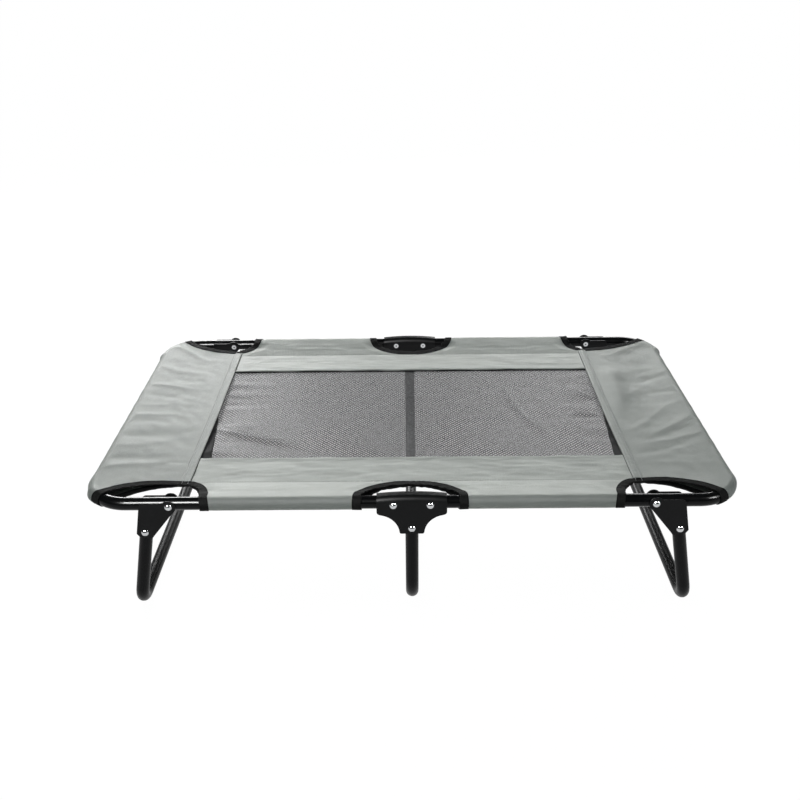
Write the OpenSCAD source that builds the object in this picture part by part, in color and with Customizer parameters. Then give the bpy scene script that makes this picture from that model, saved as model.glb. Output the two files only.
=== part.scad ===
// Folding raised dog cot: two hinged half-frames of bent steel tube, a fixed centre leg,
// two fold-in end legs and a sewn cover with a mesh middle.
// Origin on the floor under the middle, +X along the length, front at -Y, +Z up. Millimetres.

/* [Frame] */
// Distance between the axes of the two end rails
frame_l = 1076; // [960:1:1200]
// Distance between the axes of the front and rear rails
frame_w = 658; // [560:1:760]
// Height of the rail axis above the floor
rail_h = 219; // [190:1:260]
// Outside diameter of the steel tube
tube_d = 22; // [19:0.5:25]
// Wall of the steel tube
tube_wall = 1.2; // [0.8:0.1:2]
// Bend radius of the frame corners, on the tube axis
corner_r = 65; // [55:1:80]
// Bend radius at the bottom of the end legs, on the tube axis
leg_bend_r = 38; // [35:1:60]
// Bend radius at the bottom of the centre leg, on the tube axis
centre_bend_r = 50; // [35:1:60]

/* [Centre bracket] */
// Distance of each hinge rivet from the middle of the cot
hinge_x = 30.4; // [28:0.2:36]
// Length of rail tube past its hinge rivet
hinge_stub = 7; // [5:0.5:8]
// Length of the saddle along the rail
saddle_l = 116; // [104:1:124]
// Rise of the saddle's crown from its ends to its middle
crown_rise = 3.4; // [3:0.1:6]
// Rounding of the saddle over the rail
saddle_round = 10; // [6:0.5:10]
// Width of the stem that holds the centre leg
stem_w = 41; // [34:0.5:48]
// Depth of the stem's lower edge below the rail axis
stem_drop = 54.5; // [50:0.5:64]
// Depth of the wings' lower edge below the rail axis
wing_drop = 17.5; // [14:0.5:22]
// Rounding of the wings' lower corners
wing_round = 6; // [2:0.5:8]
// Rounding of the stem's lower corners
stem_round = 3; // [1:0.5:6]
// Depth of the centre leg's rivet below the rail axis
centre_rivet_drop = 45; // [40:0.5:48]
// Depth of the centre leg's top end below the rail axis
centre_leg_drop = 24; // [20:0.5:30]

/* [Leg bracket] */
// Distance of each leg pivot inboard of the end rail axis
leg_setback = 138; // [126:1:146]
// Radius of the round ear at the leg pivot
ear_r = 12; // [10:0.5:14]
// Height of the bracket's upper edge above the rail axis
ear_shoulder = 8; // [4:0.5:9]
// Distance of the leg rivet outward from the leg pivot
leg_rivet_out = 44.5; // [40:0.5:50]
// Depth of the leg rivet below the leg pivot
leg_rivet_drop = 49.6; // [44:0.2:56]
// Outward lean of the end legs in degrees
leg_lean = 10.8; // [6:0.1:12]
// Length of bracket below the leg rivet, along the leg
leg_skirt = 9; // [7:0.5:12]
// Width of bracket inboard of the leg's axis
leg_flank = 18; // [15:0.5:22]
// Chamfer of the bracket's lower corners
leg_chamfer = 5; // [3:0.5:7]
// Rounding of the bracket's upper outer corner
shoulder_round = 8; // [4:0.5:12]

/* [Sheet steel and rivets] */
// Thickness of the bracket plates
plate_t = 2; // [1.5:0.1:3]
// Diameter of the rivet shanks
rivet_d = 6; // [5:0.5:8]
// Diameter of the domed rivet heads
rivet_head_d = 12.5; // [10:0.5:15]
// Height of the domed rivet heads
rivet_head_h = 3.4; // [2.5:0.1:4.5]
// Diameter of the set rivet tails
rivet_tail_d = 10.5; // [9:0.5:13]
// Height of the set rivet tails
rivet_tail_h = 1.6; // [1:0.1:2.5]
// Diameter of the hollow in the rivet tails
rivet_hollow_d = 3.4; // [2:0.2:4]

/* [Cover] */
// Thickness of the coated fabric
fabric_t = 1; // [0.6:0.1:1.4]
// Thickness of the mesh panel
mesh_t = 0.8; // [0.5:0.1:1.2]
// Least pitch of the openings in the mesh panel, which stand for its finer weave
mesh_pitch = 43; // [36:1:60]
// Side of the openings in the mesh panel
mesh_opening = 24; // [16:1:30]
// Width of the side sleeves, from the rail axis to the stitch line
sleeve_w = 63; // [52:1:76]
// Width of the side strips, from the rail axis to the mesh
strip_w = 146; // [120:1:170]
// Length of the end panels, from the end rail axis to the seam
end_panel_l = 156; // [146:1:180]
// Length of the centre openings at the rail
notch_l = 186; // [156:1:200]
// Depth of the centre openings from the rail axis
notch_depth = 63; // [54:1:72]
// Distance from the seam to the outer end of each side sleeve
corner_gap = 43; // [32:1:50]
// Depth of the corner openings from the rail axis
corner_depth = 65; // [56:1:76]
// Angle that the end panel's cuff covers of each corner bend
cuff_deg = 45; // [30:1:55]
// Width of the binding tape
tape_w = 13; // [10:1:20]
// Width of the folded seam beside each end panel
seam_w = 6; // [4:0.5:9]
// Height of the folded seam above the fabric
seam_h = 1.2; // [0.8:0.1:2]

/* [Fits] */
// Gap between a tube and the bracket plate beside it
plate_fit = 0.3; // [0.2:0.05:0.5]
// Radial clearance of the rivets in their holes
rivet_fit = 0.05; // [0.02:0.01:0.1]
// Gap between a rail and what it rests against when the cot is open
stop_gap = 0.3; // [0.2:0.05:0.5]
// Gap between a rail and its sleeve
sleeve_fit = 0.3; // [0.2:0.05:0.6]
// Distance of the cover's fold line outboard of the hinge
fold_margin = 4.6; // [3:0.1:6]
// Gap across the cover's fold line
fold_gap = 0.5; // [0.4:0.1:1]

/* [Hidden] */
$fn = 48;

LEFT = 180;
RIGHT = 0;
FRONT = -1;
REAR = 1;

steel = [0.10, 0.11, 0.12];
bright = [0.78, 0.79, 0.80];
fabric = [0.69, 0.70, 0.68];
netting = [0.45, 0.45, 0.46];
tape = [0.14, 0.15, 0.14];

// Overshoot of cuts past the faces that they open
cut = 1;
tube_r = tube_d / 2;
rail_y = frame_w / 2;
end_x = frame_l / 2;
leg_pivot_x = end_x - leg_setback;
bend_x = end_x - corner_r;
bend_y = rail_y - corner_r;
seam_x = end_x - end_panel_l;
sleeve_end_x = seam_x - corner_gap;
fold_x = hinge_x + fold_margin;
rivet_hole_d = rivet_d + 2 * rivet_fit;

// Bracket plates lie between these distances from the rail's plane
plate_in = tube_r + plate_fit;
plate_out = plate_in + plate_t;

// Saddle: its sides end on an arc that starts level with the rail axis at both ends
saddle_end_h = tube_r + stop_gap;
crown_r = (pow(saddle_l / 2, 2) + pow(crown_rise, 2)) / (2 * crown_rise);
crown_z = crown_rise - crown_r;
// The saddle's top reaches this far down over its sides
saddle_lap = 1;
flare_r = stem_drop - wing_drop;

// End leg: along is measured down the leg from its rivet, across is outward from its axis
function leg_point(across, along) = [
    leg_rivet_out + across * cos(leg_lean) + along * sin(leg_lean),
    -leg_rivet_drop + across * sin(leg_lean) - along * cos(leg_lean)
];
function leg_along(across, z) = (across * sin(leg_lean) - leg_rivet_drop - z) / cos(leg_lean);
leg_top = leg_along(0, -tube_r - stop_gap - tube_r * sin(leg_lean));
leg_foot = leg_along(0, tube_r - rail_h);
leg_arm = leg_foot - leg_top;
// A bracket's edges run into its ear this far inside the rim
ear_sink = 0.4;

// Cover sleeves
sleeve_in = tube_r + sleeve_fit;
sleeve_out = sleeve_in + fabric_t;
// The layers of a sleeve start this far inside its round part
layer_sink = 0.05;
// The hollow of a sleeve ends this far before its stitch line
stitch_w = 4;

// A copy on the right side, or turned half round to the left side
module on_side(side) {
    rotate([0, 0, side]) children();
}

// A copy at the front and one at the rear
module front_and_rear() {
    for (end = [FRONT, REAR]) translate([0, end * rail_y, 0]) children();
}

// A flat outline in X and Z with its thickness across Y
module across_y(width) {
    rotate([90, 0, 0]) linear_extrude(width, center = true) children();
}

// A bracket outline as two plates, one on each side of the rail's plane
module plate_pair() {
    for (face = [-1, 1]) translate([0, face * (plate_in + plate_t / 2), 0]) across_y(plate_t) children();
}

// A round bar across Y
module pin_y(d, l) {
    rotate([90, 0, 0]) cylinder(d = d, h = l, center = true);
}

// A bent bar with its cross piece along Y through the origin and two arms along +X,
// with the child as its section
module bent_u(span, arm, bend_r) {
    straight = span - 2 * bend_r;
    translate([0, straight / 2, 0]) rotate([90, 0, 0]) linear_extrude(straight) children();
    for (end = [FRONT, REAR]) {
        translate([bend_r, end * straight / 2, 0]) rotate([0, 0, end == REAR ? 90 : 180])
            rotate_extrude(angle = 90) translate([bend_r, 0]) children();
        translate([bend_r, end * span / 2, 0]) rotate([0, 90, 0]) linear_extrude(arm - bend_r) children();
    }
}

module steel_u(span, arm, bend_r) {
    bent_u(span, arm, bend_r) difference() {
        circle(r = tube_r);
        circle(r = tube_r - tube_wall);
    }
}

// What is left outside a rounded corner at the origin that points to +X and -Y
module corner_waste(r) {
    translate([-r, -cut]) difference() {
        square([r + cut, r + cut]);
        translate([0, r + cut]) circle(r = r);
    }
}

// Rivet across Y with its domed head towards -Y
module rivet() {
    dome_r = (pow(rivet_head_d / 2, 2) + pow(rivet_head_h, 2)) / (2 * rivet_head_h);
    rotate([90, 0, 0]) {
        difference() {
            union() {
                cylinder(d = rivet_d, h = 2 * plate_out, center = true);
                translate([0, 0, -plate_out - rivet_tail_h]) cylinder(d = rivet_tail_d, h = rivet_tail_h);
            }
            translate([0, 0, -plate_out - rivet_tail_h - cut])
                cylinder(d = rivet_hollow_d, h = 2 * rivet_tail_h + cut);
        }
        translate([0, 0, plate_out]) rotate_extrude() intersection() {
            translate([0, rivet_head_h - dome_r]) circle(r = dome_r);
            square([rivet_head_d, rivet_head_h + cut]);
        }
    }
}

// A front and a rear rivet, each with its head outside
module rivet_pair(x, z) {
    translate([x, -rail_y, z]) rivet();
    translate([x, rail_y, z]) rotate([0, 0, 180]) rivet();
}

// Centre brackets

module stem_plate() {
    difference() {
        intersection() {
            translate([-saddle_l / 2, -stem_drop]) square([saddle_l, stem_drop + 2 * crown_rise]);
            translate([0, crown_z]) circle(r = crown_r, $fn = 360);
        }
        for (m = [0, 1]) mirror([m, 0]) {
            translate([stem_w / 2 + flare_r, -stem_drop]) circle(r = flare_r);
            translate([stem_w / 2 + flare_r, -stem_drop - cut]) square([saddle_l, flare_r + cut]);
            translate([saddle_l / 2, -wing_drop]) corner_waste(wing_round);
            translate([stem_w / 2, -stem_drop]) corner_waste(stem_round);
        }
    }
}

// Outline across the saddle, out from the crown's axis, with inset inside its outer face
module saddle_outline(inset) {
    half = plate_out - inset;
    top = saddle_end_h + plate_t - inset;
    translate([crown_r, 0]) difference() {
        translate([-inset - saddle_lap, -half]) square([top + inset + saddle_lap, 2 * half]);
        for (m = [0, 1]) mirror([0, m]) translate([top, -half]) corner_waste(saddle_round - inset);
    }
}

module saddle_top() {
    intersection() {
        translate([0, 0, crown_z]) rotate([90, 0, 0]) rotate_extrude($fn = 360) difference() {
            saddle_outline(0);
            saddle_outline(plate_t);
        }
        translate([-saddle_l / 2, -plate_out - cut, -2 * saddle_lap])
            cube([saddle_l, 2 * plate_out + 2 * cut, 2 * plate_out]);
    }
}

module centre_bracket(end) {
    color(steel) translate([0, end * rail_y, rail_h]) difference() {
        union() {
            plate_pair() stem_plate();
            saddle_top();
        }
        for (x = [-hinge_x, hinge_x]) translate([x, 0, 0]) pin_y(rivet_hole_d, 2 * plate_out + 2 * cut);
        translate([0, 0, -centre_rivet_drop]) pin_y(rivet_hole_d, 2 * plate_out + 2 * cut);
    }
}

module centre_leg_tube() {
    color(steel) difference() {
        translate([0, 0, tube_r]) rotate([0, -90, 0])
            steel_u(frame_w, rail_h - centre_leg_drop - tube_r, centre_bend_r);
        front_and_rear() translate([0, 0, rail_h - centre_rivet_drop]) pin_y(rivet_hole_d, tube_d + cut);
    }
}

module centre_leg_rivets() {
    color(bright) rivet_pair(0, rail_h - centre_rivet_drop);
}

module hinge_rivets(side) {
    color(bright) on_side(side) rivet_pair(hinge_x, rail_h);
}

// Half-frames

module frame_tube(side) {
    color(steel) on_side(side) difference() {
        translate([end_x, 0, rail_h]) rotate([0, 0, 180])
            steel_u(frame_w, end_x - hinge_x + hinge_stub, corner_r);
        front_and_rear() for (x = [hinge_x, leg_pivot_x])
            translate([x, 0, rail_h]) pin_y(rivet_hole_d, tube_d + cut);
    }
}

// End legs

module leg_tube(side) {
    foot = leg_point(0, leg_foot);
    color(steel) on_side(side) difference() {
        translate([leg_pivot_x + foot[0], 0, rail_h + foot[1]]) rotate([0, -90 - leg_lean, 0])
            steel_u(frame_w, leg_arm, leg_bend_r);
        front_and_rear() translate([leg_pivot_x + leg_rivet_out, 0, rail_h - leg_rivet_drop])
            pin_y(rivet_hole_d, tube_d + cut);
    }
}

// Flat of a leg bracket, with the leg pivot at the origin and the leg's side towards +X
module leg_plate() {
    knee = leg_point(-leg_flank, leg_skirt - leg_chamfer * 2);
    tangent = atan2(knee[1], knee[0]) - acos(ear_r / norm(knee));
    round_z = ear_shoulder - shoulder_round;
    round_along = leg_along(plate_out - shoulder_round, round_z);
    round_at = leg_point(plate_out - shoulder_round, round_along);
    ear_start = ear_r - ear_sink;
    circle(r = ear_r);
    polygon(concat(
        [[0, 0], [0, ear_shoulder]],
        [for (a = [90 : -(90 - leg_lean) / 8 : leg_lean])
            round_at + shoulder_round * [cos(a), sin(a)]],
        [
            leg_point(plate_out, leg_skirt - leg_chamfer),
            leg_point(plate_out - leg_chamfer, leg_skirt),
            leg_point(leg_chamfer - leg_flank, leg_skirt),
            knee,
            ear_start * [cos(tangent), sin(tangent)]
        ]
    ));
}

module leg_web() {
    top = -tube_r - stop_gap;
    polygon([
        leg_point(plate_in, leg_along(plate_in, top)),
        leg_point(plate_out, leg_along(plate_out, top)),
        leg_point(plate_out, leg_skirt - leg_chamfer),
        leg_point(plate_in, leg_skirt - leg_chamfer)
    ]);
}

module leg_bracket(side, end) {
    turned = side == LEFT ? -end : end;
    color(steel) on_side(side) translate([leg_pivot_x, turned * rail_y, rail_h]) difference() {
        union() {
            plate_pair() leg_plate();
            across_y(2 * plate_out) leg_web();
        }
        pin_y(rivet_hole_d, 2 * plate_out + 2 * cut);
        translate([leg_rivet_out, 0, -leg_rivet_drop]) pin_y(rivet_hole_d, 2 * plate_out + 2 * cut);
    }
}

module leg_rivets(side) {
    color(bright) on_side(side) rivet_pair(leg_pivot_x + leg_rivet_out, rail_h - leg_rivet_drop);
}

module pivot_rivets(side) {
    color(bright) on_side(side) rivet_pair(leg_pivot_x, rail_h);
}

// Cover: outlines of its openings in plan, for the front right quarter with the rail along Y = 0

// Half of the centre opening, shrunk by inset
module notch_outline(inset) {
    half_l = notch_l / 2 - inset;
    depth = notch_depth - inset;
    polygon(concat(
        [[-cut, -notch_depth], [half_l, -notch_depth]],
        [for (a = [0 : 7.5 : 90]) [half_l * cos(a), depth * sin(a)]],
        [[-cut, depth]]
    ));
}

// Corner opening from the sleeve's end round to the cuff on the bend, shrunk by inset
module corner_outline(inset) {
    from_x = sleeve_end_x + inset;
    depth = corner_depth - inset;
    cuff = cuff_deg + inset / corner_r * 180 / PI;
    cuff_at = [bend_x + corner_r * cos(cuff), corner_r - corner_r * sin(cuff)];
    beyond = [bend_x + 2 * corner_r * cos(cuff), corner_r - 2 * corner_r * sin(cuff)];
    polygon(concat(
        [[from_x, -corner_r]],
        [for (a = [0 : 15 : 90]) [seam_x - (seam_x - from_x) * cos(a), depth * sin(a)]],
        [for (s = [0.2 : 0.2 : 1])
            [seam_x + s * (cuff_at[0] - seam_x), depth - (depth - cuff_at[1]) * pow(s, 3)]],
        [beyond, [beyond[0], -corner_r]]
    ));
}

// A plan outline through the cover's whole height, at the front or rear
module plan_cut(end) {
    translate([0, end * rail_y, rail_h]) mirror([0, end == REAR ? 1 : 0, 0])
        linear_extrude(4 * sleeve_out, center = true) children();
}

// Two layers of fabric in section, from a rail at the origin to where they are sewn together
module layers_outer(reach) {
    edge = sleeve_out - layer_sink;
    polygon([[0, edge], [reach, fabric_t / 2], [reach, -fabric_t / 2], [0, -edge]]);
}

module layers_inner(reach) {
    edge = sleeve_in - layer_sink;
    polygon([[0, edge], [reach - stitch_w, 0], [0, -edge]]);
}

// A section in Y and Z, inward from the front or rear rail, run from one X to another
module along_rail(end, x0, x1) {
    translate([x0, end * rail_y, rail_h]) mirror([0, end == REAR ? 1 : 0, 0])
        rotate([90, 0, 90]) linear_extrude(x1 - x0) children();
}

// A side strip with its sleeve
module side_strip(end, x0, x1) {
    difference() {
        union() {
            along_rail(end, x0, x1) circle(r = sleeve_out);
            along_rail(end, x0, x1) layers_outer(sleeve_w);
            along_rail(end, x0, x1) translate([0, -fabric_t / 2]) square([strip_w, fabric_t]);
        }
        along_rail(end, x0 - cut, x1 + cut) circle(r = sleeve_in);
        along_rail(end, x0 - cut, x1 + cut) layers_inner(sleeve_w);
    }
}

module side_cover(side, end) {
    turned = side == LEFT ? -end : end;
    color(fabric) on_side(side) difference() {
        side_strip(turned, fold_x, seam_x);
        plan_cut(turned) notch_outline(0);
        plan_cut(turned) corner_outline(0);
    }
}

module sleeve_bindings(side) {
    color(tape) on_side(side) for (end = [FRONT, REAR]) difference() {
        intersection() {
            side_strip(end, sleeve_end_x, seam_x);
            plan_cut(end) corner_outline(0);
        }
        plan_cut(end) corner_outline(tape_w);
    }
}

module notch_bindings(side) {
    color(tape) on_side(side) for (end = [FRONT, REAR]) difference() {
        intersection() {
            side_strip(end, fold_x, sleeve_end_x);
            plan_cut(end) notch_outline(0);
        }
        plan_cut(end) notch_outline(tape_w);
    }
}

module centre_strip(end) {
    side_strip(end, fold_gap - fold_x, fold_x - fold_gap);
}

// The whole centre opening, both halves
module centre_notch(end, inset) {
    for (m = [0, 1]) mirror([m, 0, 0]) plan_cut(end) notch_outline(inset);
}

module centre_cover(end) {
    color(fabric) difference() {
        centre_strip(end);
        centre_notch(end, 0);
    }
}

module centre_bindings() {
    color(tape) for (end = [FRONT, REAR]) difference() {
        intersection() {
            side_strip(end, -hinge_x, hinge_x);
            centre_notch(end, 0);
        }
        centre_notch(end, tape_w);
    }
}

// A mesh sheet with a grid of openings, in an even number of rows so that a bar lies along the middle
module mesh_panel(x0, x1) {
    mesh_l = x1 - x0;
    mesh_w = frame_w - 2 * strip_w;
    columns = floor(mesh_l / mesh_pitch);
    rows = 2 * floor(mesh_w / mesh_pitch / 2);
    color(netting) translate([x0, -mesh_w / 2, rail_h]) difference() {
        translate([0, 0, -mesh_t / 2]) cube([mesh_l, mesh_w, mesh_t]);
        for (column = [1 : columns], row = [1 : rows])
            translate([(column - 0.5) * mesh_l / columns, (row - 0.5) * mesh_w / rows, 0])
                cube([mesh_opening, mesh_opening, mesh_t + 2 * cut], center = true);
    }
}

module side_mesh(side) {
    on_side(side) mesh_panel(fold_x, seam_x);
}

module centre_mesh() {
    mesh_panel(fold_gap - fold_x, fold_x - fold_gap);
}

// End panel, with the end rail's axis along Y through the origin and the seam towards +X

module panel_plan() {
    polygon(concat(
        [[end_panel_l, rail_y]],
        [for (a = [90 : 7.5 : 180]) [corner_r + corner_r * cos(a), bend_y + corner_r * sin(a)]],
        [for (a = [180 : 7.5 : 270]) [corner_r + corner_r * cos(a), -bend_y + corner_r * sin(a)]],
        [[end_panel_l, -rail_y]]
    ));
}

// What an outline in X and Z and the panel's plan have in common
module panel_wedge() {
    intersection() {
        across_y(frame_w) children();
        linear_extrude(4 * sleeve_out, center = true) panel_plan();
    }
}

// Two layers from the seam to the rail, and a round sleeve on the rail and its bends
module end_shell() {
    translate([end_x, 0, rail_h]) rotate([0, 0, 180]) difference() {
        union() {
            panel_wedge() layers_outer(end_panel_l);
            bent_u(frame_w, end_panel_l, corner_r) circle(r = sleeve_out);
        }
        panel_wedge() layers_inner(end_panel_l);
        bent_u(frame_w, end_panel_l + cut, corner_r) circle(r = sleeve_in);
    }
}

module end_cover(side) {
    color(fabric) on_side(side) difference() {
        end_shell();
        for (end = [FRONT, REAR]) plan_cut(end) corner_outline(0);
    }
}

module end_bindings(side) {
    color(tape) on_side(side) for (end = [FRONT, REAR]) difference() {
        intersection() {
            end_shell();
            plan_cut(end) corner_outline(0);
        }
        plan_cut(end) corner_outline(tape_w);
    }
}

module seam(side) {
    length = frame_w - 2 * corner_depth;
    color(fabric) on_side(side) translate([seam_x - seam_w, -length / 2, rail_h + fabric_t / 2])
        cube([seam_w, length, seam_h]);
}

centre_bracket(FRONT);  // front_centre_bracket
centre_bracket(REAR);  // rear_centre_bracket
centre_leg_tube();
centre_leg_rivets();
hinge_rivets(LEFT);  // left_hinge_rivets
hinge_rivets(RIGHT);  // right_hinge_rivets
centre_cover(FRONT);  // centre_front_cover
centre_cover(REAR);  // centre_rear_cover
centre_mesh();
centre_bindings();
frame_tube(LEFT);  // left_frame_tube
end_cover(LEFT);  // left_end_cover
side_cover(LEFT, FRONT);  // left_front_cover
side_cover(LEFT, REAR);  // left_rear_cover
side_mesh(LEFT);  // left_mesh
end_bindings(LEFT);  // left_end_bindings
sleeve_bindings(LEFT);  // left_sleeve_bindings
notch_bindings(LEFT);  // left_notch_bindings
seam(LEFT);  // left_seam
frame_tube(RIGHT);  // right_frame_tube
end_cover(RIGHT);  // right_end_cover
side_cover(RIGHT, FRONT);  // right_front_cover
side_cover(RIGHT, REAR);  // right_rear_cover
side_mesh(RIGHT);  // right_mesh
end_bindings(RIGHT);  // right_end_bindings
sleeve_bindings(RIGHT);  // right_sleeve_bindings
notch_bindings(RIGHT);  // right_notch_bindings
seam(RIGHT);  // right_seam
leg_tube(LEFT);  // left_leg_tube
leg_bracket(LEFT, FRONT);  // left_front_leg_bracket
leg_bracket(LEFT, REAR);  // left_rear_leg_bracket
leg_rivets(LEFT);  // left_leg_rivets
pivot_rivets(LEFT);  // left_pivot_rivets
leg_tube(RIGHT);  // right_leg_tube
leg_bracket(RIGHT, FRONT);  // right_front_leg_bracket
leg_bracket(RIGHT, REAR);  // right_rear_leg_bracket
leg_rivets(RIGHT);  // right_leg_rivets
pivot_rivets(RIGHT);  // right_pivot_rivets
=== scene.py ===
"""Looks of the folding dog cot: sewn cover, mesh, tape and stitching on the steel frame."""
import math

import bmesh
import bpy
from mathutils import Matrix, Vector, noise


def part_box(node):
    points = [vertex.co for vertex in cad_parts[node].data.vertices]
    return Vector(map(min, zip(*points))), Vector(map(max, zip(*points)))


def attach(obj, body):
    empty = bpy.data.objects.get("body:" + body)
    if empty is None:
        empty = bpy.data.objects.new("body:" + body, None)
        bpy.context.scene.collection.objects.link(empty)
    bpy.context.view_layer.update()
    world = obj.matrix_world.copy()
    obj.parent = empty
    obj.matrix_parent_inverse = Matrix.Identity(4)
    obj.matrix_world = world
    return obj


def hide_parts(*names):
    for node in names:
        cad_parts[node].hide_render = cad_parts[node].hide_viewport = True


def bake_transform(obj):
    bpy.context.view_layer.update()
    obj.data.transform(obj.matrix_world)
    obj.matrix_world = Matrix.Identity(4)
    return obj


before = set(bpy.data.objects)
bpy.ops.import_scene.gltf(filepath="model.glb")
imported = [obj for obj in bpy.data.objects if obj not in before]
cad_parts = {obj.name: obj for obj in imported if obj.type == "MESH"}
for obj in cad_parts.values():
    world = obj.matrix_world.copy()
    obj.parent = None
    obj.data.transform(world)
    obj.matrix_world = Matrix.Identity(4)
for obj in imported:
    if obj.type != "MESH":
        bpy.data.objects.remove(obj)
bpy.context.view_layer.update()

# Frame, measured on the steel, in metres
frame_low, frame_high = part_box("right_frame_tube")
TUBE_R = (frame_high[2] - frame_low[2]) / 2
RAIL_Z = (frame_high[2] + frame_low[2]) / 2
RAIL_Y = frame_high[1] - TUBE_R
END_X = frame_high[0] - TUBE_R
CORNER_R = 0.065

SIDES = {"left": -1, "right": 1}
ENDS = {"front": -1, "rear": 1}

# Cover, as it was cut and sewn. A depth (D) runs from the rail axis towards the mesh.
seam_low, seam_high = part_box("right_seam")
SEAM_X = seam_high[0]
# Reach of the seam's fold from the seam line, towards the mesh and over the end panel
FOLD_IN = seam_high[0] - seam_low[0]
FOLD_OUT = 0.010
STITCH_D = 0.063
MESH_D = RAIL_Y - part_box("right_mesh")[1][1]
HEM_W = 0.012
HEM_H = {"front": 0.0004, "rear": 0.0014}
CLOTH_T = 0.0009
CLOTH_R = TUBE_R + 0.0008
# Each centre opening: from the middle to its edge at the rail, its depth, and more room outside
NOTCH_HALF = {
    ("left", "front"): 0.096, ("right", "front"): 0.091,
    ("left", "rear"): 0.0885, ("right", "rear"): 0.0935,
}
NOTCH_D = 0.063
NOTCH_FLARE = 0.001
# Each corner opening: from the seam to the sleeve's edge at the rail, more room outside, and depth
SLEEVE_GAP = {
    ("left", "front"): 0.043, ("right", "front"): 0.043,
    ("left", "rear"): 0.043, ("right", "rear"): 0.037,
}
SLEEVE_FLARE = 0.004
CORNER_D = {"front": 0.066, "rear": 0.052}
# Below the rail every sleeve is cut back this far, to leave room for the folded leg's bracket.
# The cut sets in from one share of the way round the rail, over another.
LOWER_GAP = 0.043
LOWER_FROM = 0.4
LOWER_OVER = 0.4
# How far each cuff of an end panel reaches round its corner bend
CUFFS = {
    ("left", "front"): math.radians(41), ("left", "rear"): math.radians(57),
    ("right", "front"): math.radians(52), ("right", "rear"): math.radians(39),
}
TAPE_W = 0.013
TAPE_T = 0.0018
# The tape laps over the cloth's edge, and its middle lies this far above the cloth's
TAPE_LAP = 0.0015
TAPE_LIFT = 0.0002


# Materials

class Value:
    """A socket that shader sums can be written with."""

    def __init__(self, nodes, socket):
        self.nodes = nodes
        self.socket = socket

    def math(self, operation, *others):
        inputs = dict(enumerate((self,) + others))
        return self.nodes.node("Math", {"operation": operation}, inputs)

    def __add__(self, other):
        return self.math("ADD", other)

    def __radd__(self, other):
        return self.math("ADD", other)

    def __rsub__(self, other):
        return self.nodes.node("Math", {"operation": "SUBTRACT"}, {0: other, 1: self})

    def __mul__(self, other):
        return self.math("MULTIPLY", other)

    def __rmul__(self, other):
        return self.math("MULTIPLY", other)

    def __truediv__(self, other):
        return self.math("DIVIDE", other)

    def sin(self):
        return self.math("SINE")

    def size(self):
        return self.math("ABSOLUTE")

    def between(self, low, high):
        """0 below low, 1 above high, smooth between."""
        settings = {"interpolation_type": "SMOOTHSTEP"}
        return self.nodes.node("MapRange", settings, {0: self, 1: low, 2: high})


class Nodes:
    """A shader tree that is put together from nodes."""

    def __init__(self, tree):
        self.tree = tree

    def plug(self, socket, value):
        if isinstance(value, Value):
            self.tree.links.new(value.socket, socket)
        else:
            socket.default_value = value

    def node(self, kind, settings=None, inputs=None, output=0):
        made = self.tree.nodes.new("ShaderNode" + kind)
        for name, value in (settings or {}).items():
            setattr(made, name, value)
        for name, value in (inputs or {}).items():
            self.plug(made.inputs[name], value)
        return Value(self, made.outputs[output])

    def split(self, vector):
        """The X, Y and Z of a vector."""
        parts = self.node("SeparateXYZ", {}, {0: vector}).socket.node
        return [Value(self, socket) for socket in parts.outputs]

    def path_mix(self, first, second, ray, share=1.0):
        """Mixes a second shader in over a first one, for one kind of ray."""
        factor = self.node("LightPath", output=ray) * share
        return self.node("MixShader", {}, {0: factor, 1: first, 2: second})


class Paint(Nodes):
    """A material."""

    def __init__(self, name):
        self.material = bpy.data.materials.new(name)
        self.material.use_nodes = True
        super().__init__(self.material.node_tree)
        self.bsdf = self.tree.nodes["Principled BSDF"]

    def place(self):
        """Object coordinates, in metres."""
        return self.node("TexCoord", output="Object")

    def cloth_uv(self):
        """Across and along a cloth, in metres of flat cloth."""
        across, along, _ = self.split(self.node("UVMap", {"uv_map": "cloth"}))
        return across, along

    def noise(self, where, scale, detail=3.0, rough=0.5):
        settings = {"noise_dimensions": "3D"}
        inputs = {"Vector": where, "Scale": scale, "Detail": detail, "Roughness": rough}
        return self.node("TexNoise", settings, inputs)

    def mix(self, factor, first, second):
        """A colour between two others."""
        # The node's colour sockets come after those for numbers and vectors
        first_in, second_in, colour_out = 6, 7, 2
        inputs = {0: factor, first_in: first, second_in: second}
        return self.node("Mix", {"data_type": "RGBA"}, inputs, colour_out)

    def bump(self, height, distance, strength=1.0, normal=None):
        inputs = {"Height": height, "Distance": distance, "Strength": strength}
        if normal is not None:
            inputs["Normal"] = normal
        return self.node("Bump", {}, inputs)

    def finish(self, **sockets):
        for name, value in sockets.items():
            label = name.replace("_", " ").title().replace("Ior", "IOR")
            self.plug(self.bsdf.inputs[label], value)
        return self.material


# Distance between the fabric's threads, the tape's ribs and the hem's lines
THREAD_PITCH = 0.00062
RIB_PITCH = 0.0011
HEM_PITCH = 0.0016
# Pressed plates have rounded edges and a rougher coat than tubes
PLATE_EDGE_R = 0.0009
PLATE_PEEL = 0.3
TUBE_PEEL = 0.06


def grey(level):
    return (level, level, level, 1.0)


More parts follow.
